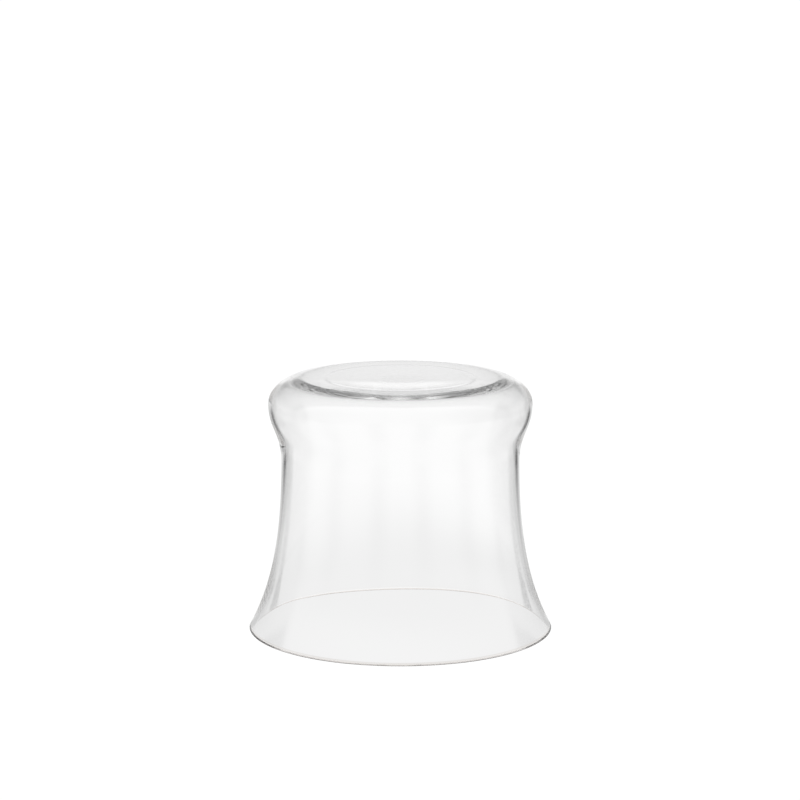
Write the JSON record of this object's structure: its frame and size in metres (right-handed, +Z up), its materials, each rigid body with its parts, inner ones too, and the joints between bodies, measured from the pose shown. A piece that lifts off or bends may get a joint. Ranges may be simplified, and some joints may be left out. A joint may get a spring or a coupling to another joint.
{
  "type": "glass cloche",
  "caption": "Clear blown-glass bell with a shallow sunken top, rolled shoulder, narrow waist and flared skirt; it stands open side down over a plant.",
  "frame": {"origin": "centre of the circle that the rim rests on", "axes": "+Z up along the bell's axis of symmetry, X and Y level in the plane of the rim"},
  "size_m": [0.23, 0.23, 0.1928],
  "materials": {
    "clear_glass": "fire-polished, smooth and clear"
  },
  "bodies": {
    "root": {"glass_bell": "clear_glass"}
  },
  "joints": []
}
